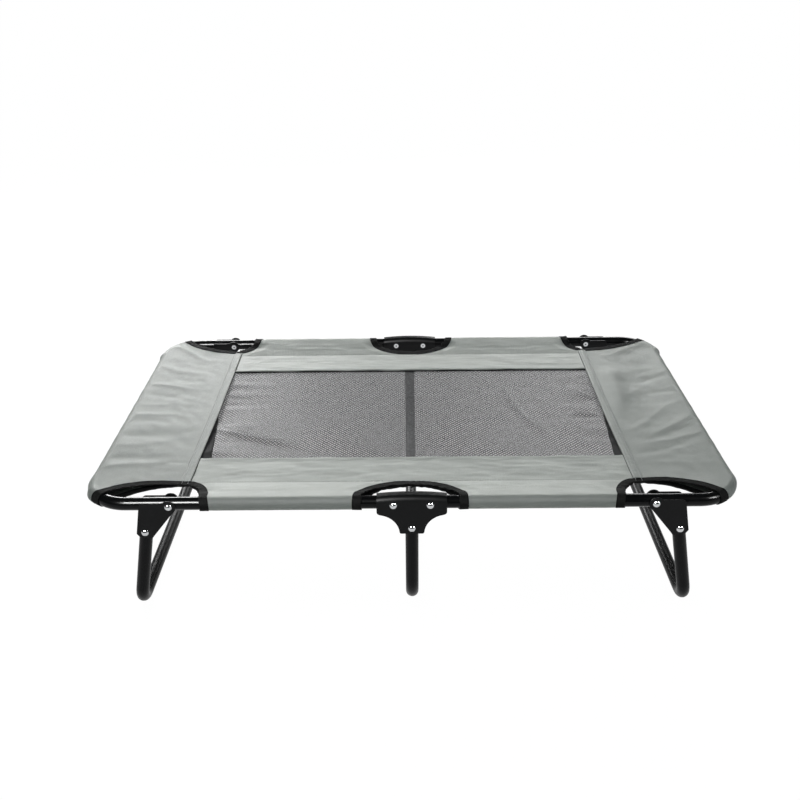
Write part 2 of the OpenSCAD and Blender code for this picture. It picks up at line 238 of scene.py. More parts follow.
def coated_steel(name, specular, rough, pressed):
    """Black powder coat with a fine orange peel and a little dust."""
    paint = Paint(name)
    at = paint.place()
    peel = paint.noise(at, scale=420.0, detail=2.0)
    dust = paint.noise(at, scale=38.0, detail=5.0, rough=0.6)
    dark, dusty = (0.0056, 0.006, 0.0066, 1), (0.0095, 0.010, 0.011, 1)
    edge = paint.node("Bevel", {"samples": 4}, {"Radius": PLATE_EDGE_R}) if pressed else None
    strength = PLATE_PEEL if pressed else TUBE_PEEL
    return paint.finish(
        base_color=paint.mix(dust.between(0.45, 0.8), dark, dusty),
        specular_ior_level=specular,
        roughness=rough + 0.12 * dust,
        normal=paint.bump(peel, distance=0.00002, strength=strength, normal=edge),
    )


def bright_steel():
    """Zinc-plated rivet heads with faint marks from setting."""
    paint = Paint("rivet_steel")
    marks = paint.noise(paint.place(), scale=900.0, detail=4.0, rough=0.7)
    bright, dull = (0.52, 0.53, 0.54, 1), (0.40, 0.41, 0.42, 1)
    return paint.finish(
        base_color=paint.mix(marks.between(0.4, 0.75), bright, dull),
        metallic=1.0,
        roughness=0.05 + 0.10 * marks,
        normal=paint.bump(marks, distance=0.00004, strength=0.4),
    )


def weave(across, along, pitch):
    """Height of a plain weave, from 0 to 1."""
    turn = math.pi / pitch
    shift = 0.785
    warp = (across * turn).sin().size()
    weft = (along * turn).sin().size()
    checks = (across * turn / 2 + shift).sin() * (along * turn / 2 + shift).sin()
    over = checks.between(-0.15, 0.15)
    return over * warp + (1 - over) * weft


def coated_fabric(name, dark, light):
    """Grey coated plain weave, with slubs and soft blotches."""
    paint = Paint(name)
    across, along = paint.cloth_uv()
    threads = weave(across, along, THREAD_PITCH)
    blotch = paint.noise(paint.place(), scale=16.0, detail=4.0, rough=0.55)
    drawn_out = paint.node("CombineXYZ", {}, {0: across * 60, 1: along * 900, 2: 0.0})
    slub = paint.noise(drawn_out, scale=1.0, detail=2.0)
    shade = 0.55 * blotch + 0.25 * slub + 0.2 * threads
    coarse = paint.bump(blotch, distance=0.0012, strength=0.4)
    return paint.finish(
        base_color=paint.mix(shade.between(0.25, 0.75), dark, light),
        specular_ior_level=0.14,
        roughness=0.42 + 0.16 * slub,
        normal=paint.bump(threads, distance=0.00018, strength=0.45, normal=coarse),
    )


def binding_tape():
    """Black ribbed binding tape."""
    paint = Paint("binding_tape")
    _, along = paint.cloth_uv()
    ribs = (along * (math.pi / RIB_PITCH)).sin().size()
    fuzz = paint.noise(paint.place(), scale=260.0, detail=4.0, rough=0.65)
    dark, light = (0.005, 0.0052, 0.0049, 1), (0.013, 0.0133, 0.0126, 1)
    return paint.finish(
        base_color=paint.mix(fuzz.between(0.3, 0.75), dark, light),
        specular_ior_level=0.05,
        roughness=0.62 + 0.2 * fuzz,
        normal=paint.bump(0.7 * ribs + 0.3 * fuzz, distance=0.0003, strength=0.6),
    )


def mesh_yarn():
    """Grey polyester yarn, in coated bundles."""
    paint = Paint("mesh")
    at = paint.place()
    strands = paint.noise(at, scale=900.0, detail=3.0, rough=0.6)
    patches = paint.noise(at, scale=9.0, detail=3.0)
    drawn_out = paint.node("Mapping", {}, {"Vector": at, "Scale": (1.0, 0.5, 1.0)})
    grain = paint.noise(drawn_out, scale=210.0, detail=2.0)
    shade = 0.3 * grain.between(0.38, 0.62) + 0.35 * strands + 0.35 * patches
    dark, light = (0.012, 0.012, 0.0128, 1), (0.100, 0.100, 0.106, 1)
    return paint.finish(
        base_color=paint.mix(shade, dark, light),
        specular_ior_level=0.3,
        roughness=0.42 + 0.2 * strands,
        normal=paint.bump(strands, distance=0.0001, strength=0.5),
    )


def dark_hem_and_shadow_cloth():
    """Dark cloth: the mesh's turned hem, dark partly with painted shade, and painted shadow beside
    the seams and along the rear hem.
    """
    paint = Paint("mesh_hem_and_painted_shade")
    across, _ = paint.cloth_uv()
    lines = (across * (math.pi / HEM_PITCH)).sin().size()
    blotch = paint.noise(paint.place(), scale=70.0, detail=3.0)
    return paint.finish(
        base_color=paint.mix(0.5 * lines + 0.5 * blotch, grey(0.018), grey(0.044)),
        specular_ior_level=0.05,
        roughness=0.6 + 0.2 * blotch,
    )


def sewing_thread():
    """Twisted sewing thread."""
    paint = Paint("thread")
    twist = paint.noise(paint.place(), scale=1500.0, detail=2.0)
    return paint.finish(
        base_color=paint.mix(twist.between(0.3, 0.7), grey(0.48), grey(0.72)),
        roughness=0.55 + 0.1 * twist,
        normal=paint.bump(twist, distance=0.0001, strength=0.4),
    )


TUBE = coated_steel("powder_coat", specular=0.11, rough=0.16, pressed=False)
LEG = coated_steel("powder_coat_legs", specular=0.09, rough=0.30, pressed=False)
PLATE = coated_steel("powder_coat_satin", specular=0.11, rough=0.34, pressed=True)
RIVET = bright_steel()
# The end panels get a darker copy of the strips' fabric: painted shade, as the cloth is the same
FABRIC = coated_fabric("fabric", (0.445, 0.462, 0.428, 1), (0.54, 0.557, 0.519, 1))
SHADED_PANEL_FABRIC = coated_fabric("fabric_panel_painted_shade", (0.333, 0.347, 0.324, 1), (0.403, 0.419, 0.391, 1))
TAPE = binding_tape()
YARN = mesh_yarn()
# Dark cloth, partly painted shade and painted shadow
HEM_AND_PAINTED_SHADOW = dark_hem_and_shadow_cloth()
THREAD = sewing_thread()


# Pieces

def settle(piece):
    """Makes a piece's modifiers part of its mesh."""
    bpy.context.view_layer.update()
    depsgraph = bpy.context.evaluated_depsgraph_get()
    piece.data = bpy.data.meshes.new_from_object(piece.evaluated_get(depsgraph))
    piece.modifiers.clear()


def new_piece(name, bm, material, smooth=True):
    mesh = bpy.data.meshes.new(name)
    bm.to_mesh(mesh)
    bm.free()
    for face in mesh.polygons:
        face.use_smooth = smooth
    mesh.materials.append(material)
    piece = bpy.data.objects.new(name, mesh)
    bpy.context.scene.collection.objects.link(piece)
    return piece


def thicken(piece, thickness):
    shell = piece.modifiers.new("thickness", "SOLIDIFY")
    shell.thickness = thickness
    shell.offset = 0
    settle(piece)


def join_at_middle(piece):
    """Takes away the edge where the left and right cloth run on into each other."""
    bm = bmesh.new()
    bm.from_mesh(piece.data)
    middle = [vert for vert in bm.verts if abs(vert.co.x) < CLOTH_T / 4]
    for vert in middle:
        vert.co.x = 0.0
    cut_edge = [face for face in bm.faces if all(vert.co.x == 0 for vert in face.verts)]
    bmesh.ops.delete(bm, geom=cut_edge, context="FACES_ONLY")
    bm.to_mesh(piece.data)
    bm.free()


def grid_sheet(name, columns, rows, shape, material, thickness, turned):
    """A sheet from a grid. shape(u, v) gives a point and its place on the flat cloth."""
    bm = bmesh.new()
    bmesh.ops.create_grid(bm, x_segments=columns, y_segments=rows, size=0.5)
    bm.verts.index_update()
    flat = {}
    for vert in bm.verts:
        point, cloth = shape(vert.co.x + 0.5, vert.co.y + 0.5)
        vert.co = point
        flat[vert.index] = cloth
    layer = bm.loops.layers.uv.new("cloth")
    for face in bm.faces:
        for loop in face.loops:
            loop[layer].uv = flat[loop.vert.index]
    if turned:
        bmesh.ops.reverse_faces(bm, faces=bm.faces)
    piece = new_piece(name, bm, material)
    thicken(piece, thickness)
    return piece


def fold_with(piece):
    """Makes the piece's placing part of its mesh."""
    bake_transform(piece)


def ripple(x, y, size, seed):
    """Smooth noise of about -1 to 1, with bumps of a size."""
    return noise.noise(Vector((x / size, y / size, seed)))


def waves(table, x, y):
    """Sum of ripples: each has its height, its scale in X and Y, its size and its seed."""
    return sum(height * ripple(x * by_x, y * by_y, size, seed)
               for height, by_x, by_y, size, seed in table)


def hump(distance, width):
    """1 at no distance, falling off smoothly over a width."""
    return math.exp(-(distance / width) ** 2)


def smooth(share):
    share = max(0.0, min(1.0, share))
    return share * share * (3 - 2 * share)


# Section of a side sleeve: travel runs over the cloth from the stitch line, over the rail and
# back below, and is negative on the flat cloth towards the mesh

TANGENT = math.acos(CLOTH_R / STITCH_D)
LAYER_L = math.sqrt(STITCH_D ** 2 - CLOTH_R ** 2)
WRAP_L = (2 * math.pi - 2 * TANGENT) * CLOTH_R
FLAT_L = MESH_D - STITCH_D
LOOP_L = 2 * LAYER_L + WRAP_L
RISE_D = STITCH_D - CLOTH_R * math.cos(TANGENT)
RISE_H = CLOTH_R * math.sin(TANGENT)
# The lower layer is sewn to the upper one a little below it
LAP = 0.0012
# The loose lips of the openings hang this share lower than a tight layer, from a depth on
LIP_DROP = 0.45
LIP_W = 0.03
LIP_FROM_D = 0.012
LIP_OVER_D = 0.022
# Waves of the strips, of the cloth round the rail and along the stitch line
STRIP_WAVES = [(0.0013, 0.5, 1.0, 0.03, 3.0), (0.0006, 0.6, 2.2, 0.017, 7.0)]
WRAP_WAVES = [(0.0005, 1.0, 40.0, 0.03, 5.0)]
PUCKERS = [(0.0006, 1.0, 0.3, 0.006, 11.0)]
PUCKER_W = 0.007
# The flat cloth's waves set in over this travel, and the hem ends over this way from the seam
FLAT_FADE = 0.02
HEM_FADE = 0.008
# Share of the strips' waves that a sleeve's layers show, and how slack the lower layer is
LAYER_WAVES = 0.8
LOWER_SLACK = 0.3
# The hem's step, the groove that its stitches lie in, and its rolled edge
STEP_W = 0.003
GROOVE_AT = HEM_W - 0.003
GROOVE_H = 0.0004
GROOVE_W = 0.0012
ROLL_H = 0.0015
ROLL_W = 0.0007


def sleeve_section(travel):
    """Depth from the rail axis, height above it, and the share of the way round the rail."""
    if travel <= 0:
        return STITCH_D - travel, 0.0, 0.0
    if travel < LAYER_L:
        share = travel / LAYER_L
        return STITCH_D - share * RISE_D, share * RISE_H, 0.0
    if travel < LAYER_L + WRAP_L:
        turn = TANGENT + (travel - LAYER_L) / CLOTH_R
        wrap = (travel - LAYER_L) / WRAP_L
        return CLOTH_R * math.cos(turn), CLOTH_R * math.sin(turn), wrap
    share = (LOOP_L - travel) / LAYER_L
    return STITCH_D - share * RISE_D, -share * RISE_H - (1 - share) * LAP, 1.0


def travel_at(depth):
    """Travel on the upper layer at a depth from the rail axis."""
    if depth >= STITCH_D:
        return STITCH_D - depth
    return (STITCH_D - depth) / RISE_D * LAYER_L


def ellipse_x(depth, reach_x, reach_d):
    share = max(0.0, min(1.0, depth / reach_d))
    return reach_x * math.sqrt(1 - share * share)


def notch_x(travel, side, end):
    """Where the centre opening's edge is, outward from the middle."""
    depth, _, wrap = sleeve_section(travel)
    flare = NOTCH_FLARE * math.sin(math.pi * wrap)
    return ellipse_x(depth, NOTCH_HALF[side, end], NOTCH_D) + flare


def corner_x(travel, side, end):
    """Where the corner opening's edge is, outward from the middle."""
    depth, _, wrap = sleeve_section(travel)
    gap = SLEEVE_GAP[side, end]
    gap += (LOWER_GAP - gap) * smooth((wrap - LOWER_FROM) / LOWER_OVER)
    flare = SLEEVE_FLARE * math.sin(math.pi * wrap)
    return SEAM_X - ellipse_x(depth, gap, CORNER_D[end]) - flare


def hem_height(from_mesh, end):
    """The strip's folded hem beside the mesh, with its stitched groove and rolled edge."""
    fold = HEM_H[end] * smooth((HEM_W + STEP_W / 2 - from_mesh) / STEP_W)
    groove = GROOVE_H * hump(from_mesh - GROOVE_AT, GROOVE_W)
    roll = ROLL_H * math.exp(-from_mesh / ROLL_W)
    return fold - groove - roll


def strip_point(x, travel, side, end, lift=0.0):
    """A point of a side strip, or lifted off it."""
    sx, sy = SIDES[side], ENDS[end]
    depth, height, wrap = sleeve_section(travel)
    wx, wy = sx * x, sy * (RAIL_Y - depth)
    if 0 < wrap < 1:
        out = CLOTH_R + lift + waves(WRAP_WAVES, wx, wrap * CLOTH_R)
        turn = math.atan2(height, depth)
        depth, height = out * math.cos(turn), out * math.sin(turn)
    else:
        slack = LOWER_SLACK
        if travel < LAYER_L:
            slack = math.sin(math.pi * min(1.0, max(0.0, travel) / LAYER_L))
        flat = smooth(-travel / FLAT_FADE)
        if travel > 0:
            deep = smooth((depth - LIP_FROM_D) / LIP_OVER_D)
            for gap in (x - notch_x(travel, side, end), corner_x(travel, side, end) - x):
                height *= 1 - LIP_DROP * deep * smooth(1 - gap / LIP_W)
        height += lift if wrap < 0.5 else -lift
        height += (LAYER_WAVES * slack + flat) * waves(STRIP_WAVES, wx, wy)
        height += waves(PUCKERS, wx, wy) * hump(travel, PUCKER_W)
        height += hem_height(travel + FLAT_L, end) * smooth((SEAM_X - FOLD_IN - x) / HEM_FADE)
    return Vector((wx, sy * (RAIL_Y - depth), RAIL_Z + height))


def strip_rows():
    """Rows over the cloth, closer together at the hem and the stitch line."""
    hem = (0, 0.0005, 0.0012, 0.0025, 0.0045, 0.0065, 0.0078,
           0.0086, 0.0094, 0.0102, 0.0112, 0.0122, 0.0132, 0.0145)
    flat_from, flat_count = 0.018, 20
    layer_count, wrap_count = 26, 22
    flat_step = (FLAT_L - flat_from) / flat_count
    rows = [-FLAT_L + distance for distance in hem]
    rows += [-FLAT_L + flat_from + flat_step * i for i in range(flat_count)]
    layer = [LAYER_L * (i / layer_count) ** 1.7 for i in range(layer_count)]
    rows += layer
    rows += [LAYER_L + WRAP_L * i / wrap_count for i in range(wrap_count)]
    rows += [LOOP_L - travel for travel in reversed(layer)]
    return rows


def side_strip(side, end):
    rows = strip_rows()
    last = len(rows) - 1
    columns = 120

    def shape(u, v):
        travel = rows[round(v * last)]
        x0, x1 = notch_x(travel, side, end), corner_x(travel, side, end)
        x = x0 + (x1 - x0) * u
        return strip_point(x, travel, side, end), (x, travel)

    name = f"{side}_{end}_strip"
    turned = SIDES[side] * ENDS[end] > 0
    piece = grid_sheet(name, columns, last, shape, FABRIC, CLOTH_T, turned)
    join_at_middle(piece)
    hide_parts(f"{side}_{end}_cover", f"centre_{end}_cover")
    fold_with(piece)
    widths = [corner_x(travel, side, end) - notch_x(travel, side, end) for travel in rows]
    area = sum((rows[i + 1] - rows[i]) * (widths[i] + widths[i + 1]) / 2 for i in range(last))
    flat = (SEAM_X, FLAT_L + LOOP_L)


TAPE_COLUMNS = 8
TAPE_ROWS = 150
# Share by which the tape's width varies
NOTCH_RAGGED = 0.36
SLEEVE_RAGGED = 0.16
END_RAGGED = 0.1
# How far the tape's free edge waves up and down, at the openings and on the end panels
EDGE_WAVE = 0.0012
END_WAVE = 0.0011


def tape_across(u, ragged):
    """How far across the tape a point lies, from the cloth's edge."""
    return -TAPE_LAP + u * (TAPE_W * ragged + TAPE_LAP)


def edge_tape(name, side, end, edge_x, into, first, ragged_by):
    """Binding tape along an opening's edge, over the rail and back below.

    edge_x gives the edge, into is the way to the opening in X, and first is the travel at its apex.
    """
    last = LOOP_L - max(0.0, first)
    step = 0.0004

    def edge(share):
        # Closer together near the opening's apex
        ease = 0.5 - 0.5 * math.cos(math.pi * share)
        travel = first + ease * (last - first)
        return Vector((edge_x(travel, side, end), travel))

    def shape(u, v):
        way = (edge(min(1, v + step)) - edge(max(0, v - step))).normalized()
        inward = Vector((way.y, -way.x))
        if inward.x * into < 0:
            inward = -inward
        ragged = 1 + ragged_by * ripple(v * LOOP_L, SIDES[side], size=0.007, seed=19.0 + ENDS[end])
        across = tape_across(u, ragged)
        spot = edge(v) + inward * across
        travel = max(first, min(last, spot.y))
        x = max(0.0, min(SEAM_X, spot.x))
        wave = EDGE_WAVE * ripple(x, spot.y, size=0.009, seed=17.0) * u * u
        return strip_point(x, travel, side, end, TAPE_LIFT + wave), (across, v * LOOP_L)

    turned = SIDES[side] * ENDS[end] * into > 0
    return grid_sheet(name, TAPE_COLUMNS, TAPE_ROWS, shape, TAPE, TAPE_T, turned)


def notch_tape(side, end):
    first = travel_at(NOTCH_D)
    piece = edge_tape(f"{side}_{end}_notch_tape", side, end, notch_x, -1, first, NOTCH_RAGGED)
    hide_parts(f"{side}_notch_bindings", "centre_bindings")
    join_at_middle(piece)
    fold_with(piece)


def sleeve_tape(side, end):
    first = travel_at(CORNER_D[end])
    piece = edge_tape(f"{side}_{end}_sleeve_tape", side, end, corner_x, 1, first, SLEEVE_RAGGED)
    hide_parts(f"{side}_sleeve_bindings")
    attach(piece, side + "_half")


# End panel: along runs round the frame from the middle of the end rail, share from the seam to
# the rail

BEND_Y = RAIL_Y - CORNER_R
PANEL_X = END_X - SEAM_X
PANEL_COLUMNS = 200
PANEL_LAYER = 48
PANEL_WRAP = 22
PANEL_ROWS = 2 * PANEL_LAYER + PANEL_WRAP
PANEL_WRAP_L = math.pi * CLOTH_R
# The panel rises to the rail partly in a straight line, and for the rest in a curve
PANEL_STRAIGHT = 0.55
PANEL_WAVES = [(0.0014, 0.6, 1.0, 0.045, 4.0), (0.0006, 1.0, 1.0, 0.02, 9.0)]
PANEL_WRAP_WAVES = {
    "left": [(0.0006, 1.0, 3.0, 0.028, 5.0)],
    "right": [(0.0006, 1.0, 3.0, 0.028, 7.0)],
}

# Pull creases: from and to, as distance from the seam and place along Y, then height and width
CREASES = {
    "left": [
        (0.146, 0.300, 0.060, 0.235, 0.0030, 0.010), (0.150, 0.190, 0.070, 0.160, 0.0014, 0.012),
        (0.150, 0.098, 0.070, 0.092, 0.0022, 0.008), (0.146, 0.060, 0.080, 0.040, -0.0022, 0.010),
        (0.150, 0.010, 0.085, 0.022, 0.0016, 0.008), (0.154, -0.038, 0.080, -0.020, 0.0026, 0.008),
        (0.154, -0.066, 0.090, -0.050, -0.0020, 0.010),
        (0.152, -0.112, 0.050, -0.100, -0.0026, 0.013),
        (0.154, -0.150, 0.080, -0.128, 0.0018, 0.010),
        (0.156, -0.205, 0.080, -0.186, -0.0022, 0.010),
        (0.156, -0.228, 0.060, -0.206, 0.0028, 0.009),
        (0.012, -0.196, 0.050, -0.204, -0.0010, 0.006),
    ],
    "right": [
        (0.154, 0.302, 0.040, 0.244, 0.0034, 0.010), (0.150, 0.262, 0.070, 0.222, -0.0018, 0.012),
        (0.152, 0.142, 0.090, 0.138, 0.0020, 0.009), (0.150, 0.120, 0.095, 0.112, -0.0018, 0.008),
        (0.150, 0.056, 0.090, 0.050, -0.0020, 0.009), (0.110, -0.018, 0.030, -0.090, 0.0022, 0.009),
        (0.154, -0.058, 0.060, -0.118, 0.0026, 0.009),
        (0.148, -0.118, 0.050, -0.146, 0.0022, 0.008),
        (0.140, -0.092, 0.060, -0.134, -0.0022, 0.010),
        (0.120, -0.146, 0.024, -0.182, -0.0024, 0.010),
        (0.150, 0.010, 0.100, -0.010, 0.0014, 0.010),
        (0.100, -0.222, 0.036, -0.214, 0.0012, 0.007),
        (0.040, 0.150, 0.024, -0.020, 0.0125, 0.019),
        (0.095, 0.200, 0.085, -0.130, -0.0080, 0.034),
    ],
}
# Share of that height that shows, and the shares of the panel over which a crease sets in from the
# seam and ends before the rail
CREASE_SHARE = 0.42
CREASE_IN = 0.12
CREASE_OUT = 0.06
# Loose cloth that stands out round the rail: place along it, height and width
BULGES = {
    "left": [
        (-BEND_Y - 0.036, 0.0042, 0.011), (-BEND_Y - 0.004, 0.0022, 0.020),
        (BEND_Y - 0.012, 0.0036, 0.013),
    ],
    "right": [(BEND_Y - 0.002, 0.0038, 0.012), (-BEND_Y - 0.010, 0.0016, 0.016)],
}


def end_at(sign):
    return "rear" if sign > 0 else "front"


def panel_limit(side, sign):
    """How far the panel's cloth runs round the frame, to the front or rear."""
    return BEND_Y + CORNER_R * CUFFS[side, end_at(sign)]


def seam_half(sign):
    """How far the seam runs from the middle, to the front or rear."""
    return RAIL_Y - CORNER_D[end_at(sign)]


def seam_y(u):
    """Place along the seam, from front to rear."""
    front, rear = seam_half(-1), seam_half(1)
    return -front + u * (front + rear)


def rail_at(along):
    """Axis of the end rail or its bend, and the way inward from it."""
    reach = abs(along) - BEND_Y
    sign = 1 if along > 0 else -1
    if reach <= 0:
        return Vector((END_X, along, 0)), Vector((-1, 0, 0))
    turn = reach / CORNER_R
    inward = Vector((-math.cos(turn), -sign * math.sin(turn), 0))
    centre = Vector((END_X - CORNER_R, sign * BEND_Y, 0))
    return centre - CORNER_R * inward, inward


def crease_height(creases, x, y):
    """Height of the creases at a place on the cloth.

    Each crease sways a little, runs on past its ends and dies out.
    """
    past, sway = 0.3, 0.004
    total = 0.0
    at = Vector((x, y))
    for x0, y0, x1, y1, height, width in creases:
        start, way = Vector((x0, y0)), Vector((x1 - x0, y1 - y0))
        share = (at - start).dot(way) / way.length_squared
        if -past < share < 1 + past:
            bend = sway * math.sin(2.5 * share + 40 * y0)
            off = (way.x * (at.y - start.y) - way.y * (at.x - start.x)) / way.length - bend
            ends = smooth((share + past) / 0.4) * smooth((1 + past - share) / 0.7)
            total += height * ends * hump(off, width)
    return total


def bulge(side, along):
    return sum(height * hump(along - place, width) for place, height, width in BULGES[side])


def panel_point(along, share, side, layer, lift=0.0):
    """A point of an end panel, or lifted off it.

    layer is 1 above, -1 below and 0 round the rail; share runs 0 to 1 within it.
    """
    sx = SIDES[side]
    sign = 1 if along > 0 else -1
    axis, inward = rail_at(along)
    seam = Vector((SEAM_X, along * seam_half(sign) / panel_limit(side, sign), 0))
    tangent = math.acos(CLOTH_R / (axis - seam).length)
    if layer == 0:
        turn = tangent + share * (2 * math.pi - 2 * tangent)
        out = CLOTH_R + lift + waves(PANEL_WRAP_WAVES[side], along, turn * CLOTH_R)
        out += bulge(side, along) * math.sin(math.pi * share) ** 0.7
        spot = axis + inward * out * math.cos(turn) + Vector((0, 0, out * math.sin(turn)))
    else:
        touch = axis + inward * CLOTH_R * math.cos(tangent)
        spot = seam.lerp(touch, share)
        spot.y = seam.y + (touch.y - seam.y) * share ** 3
        rise = CLOTH_R * math.sin(tangent)
        rise *= PANEL_STRAIGHT * share + (1 - PANEL_STRAIGHT) * share * abs(share)
        wave = math.sin(math.pi * min(1.0, max(0.0, share))) ** 0.8
        wave *= waves(PANEL_WAVES, sx * spot.x, spot.y)
        if layer > 0:
            crease = CREASE_SHARE * crease_height(CREASES[side], spot.x - SEAM_X, spot.y)
            wave += crease * smooth(share / CREASE_IN) * smooth((1 - share) / CREASE_OUT)
            spot.z = rise + lift + wave
        else:
            spot.z = -rise - lift - LAP * (1 - share) + wave
    return Vector((sx * spot.x, spot.y, RAIL_Z + spot.z))


def panel_step(v):
    """Layer, share within it and travel over the cloth, for a row of the end panel."""
    row = round(v * PANEL_ROWS)
    if row <= PANEL_LAYER:
        return 1, row / PANEL_LAYER, PANEL_X * row / PANEL_LAYER
    if row < PANEL_LAYER + PANEL_WRAP:
        share = (row - PANEL_LAYER) / PANEL_WRAP
        return 0, share, PANEL_X + PANEL_WRAP_L * share
    share = (PANEL_ROWS - row) / PANEL_LAYER
    return -1, share, 2 * PANEL_X + PANEL_WRAP_L - PANEL_X * share


def end_panel(side):
    front, rear = panel_limit(side, -1), panel_limit(side, 1)

    def shape(u, v):
        along = -front + u * (front + rear)
        layer, share, travel = panel_step(v)
        return panel_point(along, share, side, layer), (along, travel)

    name = f"{side}_end_panel"
    turned = SIDES[side] < 0
    # The panel's darker fabric is painted shade
    piece = grid_sheet(name, PANEL_COLUMNS, PANEL_ROWS, shape, SHADED_PANEL_FABRIC, CLOTH_T, turned)
    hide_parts(f"{side}_end_cover")
    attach(piece, side + "_half")
    flat = (front + rear, 2 * PANEL_X + PANEL_WRAP_L)
    layers = 2 * (seam_half(-1) + seam_half(1) + front + rear) / 2 * PANEL_X
    area = layers + PANEL_WRAP_L * (front + rear)


def panel_tape(side, end):
    sign = ENDS[end]
    limit = panel_limit(side, sign)
    # The tape runs in under the seam's fold
    tuck = 0.03

    def shape(u, v):
        layer, share, travel = panel_step(v)
        if layer:
            share = share * (1 + tuck) - tuck
        ragged = 1 + END_RAGGED * ripple(travel, sign, size=0.009, seed=29.0 + SIDES[side])
        across = tape_across(u, ragged)
        wave = END_WAVE * ripple(travel, across, size=0.011, seed=23.0 + sign) * u * u
        along = sign * (limit + across)
        return panel_point(along, share, side, layer, TAPE_LIFT + wave), (across, travel)

    name = f"{side}_{end}_end_tape"
    turned = SIDES[side] * sign < 0
    piece = grid_sheet(name, TAPE_COLUMNS, PANEL_ROWS, shape, TAPE, TAPE_T, turned)
    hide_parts(f"{side}_end_bindings")
    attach(piece, side + "_half")


# Mesh panel: two layers of slanting strands

STRAND_GAP = 0.0028
STRAND_W = 0.00145
STRAND_T = 0.00026
STRAND_STEP = 0.009
# The strands lie in pairs: each is this share of the gap nearer to the other
PAIR_SHIFT = 0.085
# Each layer lies this share of a strand's thickness above or below the middle
LAYER_SHARE = 0.4
MESH_DROP = 0.0016
MESH_SAG = 0.0030
# The mesh gathers in folds near the seams, and waves softly in its middle
GATHER_W = 0.075
MESH_FOLDS = [(0.0026, 0.22, 1.0, 0.022, 5.0)]
MESH_WAVES = [(0.0010, 1.0, 1.0, 0.09, 8.0)]
# The mesh runs in under the strips' hems and ends just before the seam
MESH_UNDER = 0.004
MESH_HALF_W = RAIL_Y - MESH_D + MESH_UNDER
MESH_L = SEAM_X - 0.001

# Creases of the mesh, in X and Y, with height and width
MESH_CREASES = [
    (-0.350, -0.076, -0.215, -0.132, 0.0040, 0.009), (0.345, 0.078, 0.372, 0.050, 0.0030, 0.008),
    (0.196, 0.080, 0.222, -0.020, 0.0030, 0.008), (0.226, -0.030, 0.254, -0.100, 0.0024, 0.008),
    (0.325, -0.012, 0.362, -0.028, 0.0032, 0.007),
]


def mesh_height(wx, wy):
    """How the mesh hangs between the strips and the seams."""
    across = 1 - (wy / MESH_HALF_W) ** 2
    gather = hump(SEAM_X - abs(wx), GATHER_W)
    folds = gather * waves(MESH_FOLDS, wx, wy) + across * waves(MESH_WAVES, wx, wy)
    return -MESH_DROP - MESH_SAG * across + folds + crease_height(MESH_CREASES, wx, wy)


def mesh_strands(bm, low_x, high_x, lean):
    """One layer of flat strands, which run a little past the panel's edges."""
    root2 = math.sqrt(2)
    half_w = MESH_HALF_W
    corners = [(x - lean * y) / root2 for x in (low_x, high_x) for y in (-half_w, half_w)]
    first, last = math.floor(min(corners) / STRAND_GAP), math.ceil(max(corners) / STRAND_GAP)
    turn = Matrix.Rotation(lean * math.pi / 4, 4, "Z")
    for index in range(first, last + 1):
        offset = (index + (PAIR_SHIFT if index % 2 else -PAIR_SHIFT)) * STRAND_GAP * root2
        # Where the strand's middle line x - lean * y = offset crosses the panel
        ys = sorted((lean * (low_x - offset), lean * (high_x - offset)))
        y0, y1 = max(-half_w, ys[0]), min(half_w, ys[1])
        if y1 - y0 < STRAND_GAP:
            continue
        length = (y1 - y0) * root2 + 2 * STRAND_W
        middle_y = (y0 + y1) / 2
        height = lean * STRAND_T * LAYER_SHARE
        place = Matrix.Translation((offset + lean * middle_y, middle_y, height))
        matrix = place @ turn @ Matrix.Diagonal((length, STRAND_W, 1, 1))
        steps = max(1, round(length / STRAND_STEP))
        bmesh.ops.create_grid(bm, x_segments=steps, y_segments=1, size=0.5, matrix=matrix)


def mesh_panel(side):
    low_x, high_x = sorted((0.0, SIDES[side] * MESH_L))
    bm = bmesh.new()
    for lean in (1, -1):
        mesh_strands(bm, low_x, high_x, lean)
    for spot, way in (
        ((low_x, 0, 0), (-1, 0, 0)), ((high_x, 0, 0), (1, 0, 0)),
        ((0, -MESH_HALF_W, 0), (0, -1, 0)), ((0, MESH_HALF_W, 0), (0, 1, 0)),
    ):
        every = bm.verts[:] + bm.edges[:] + bm.faces[:]
        bmesh.ops.bisect_plane(bm, geom=every, plane_co=spot, plane_no=way, clear_outer=True)
    for vert in bm.verts:
        vert.co.z += RAIL_Z + mesh_height(vert.co.x, vert.co.y)
    piece = new_piece(f"{side}_mesh_panel", bm, YARN, smooth=False)
    thicken(piece, STRAND_T)
    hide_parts(f"{side}_mesh", "centre_mesh")
    fold_with(piece)
    flat = (MESH_L, 2 * MESH_HALF_W)
    flat[0] * flat[1]


# Dark strips on the mesh: its turned hem, dark partly with painted shade, and a painted shadow
# along the rear hem

DARK_STRIP_T = 0.0004
DARK_STRIP_LIFT = 0.0008
# Widest part of the dark hem that shows beside the seam, at the front, and its rear end
HEM_SHOWS = {"left": 0.017, "right": 0.0125}
HEM_END_Y = -0.016
# How far the painted shadow shows in front of the rear hem, and how far it runs in under it
REAR_SHADOW_SHOWS = 0.0042
REAR_SHADOW_UNDER = 0.006


def dark_strip_point(side, x, y):
    wx = SIDES[side] * x
    return Vector((wx, y, RAIL_Z + mesh_height(wx, y) + DARK_STRIP_LIFT)), (x, y)


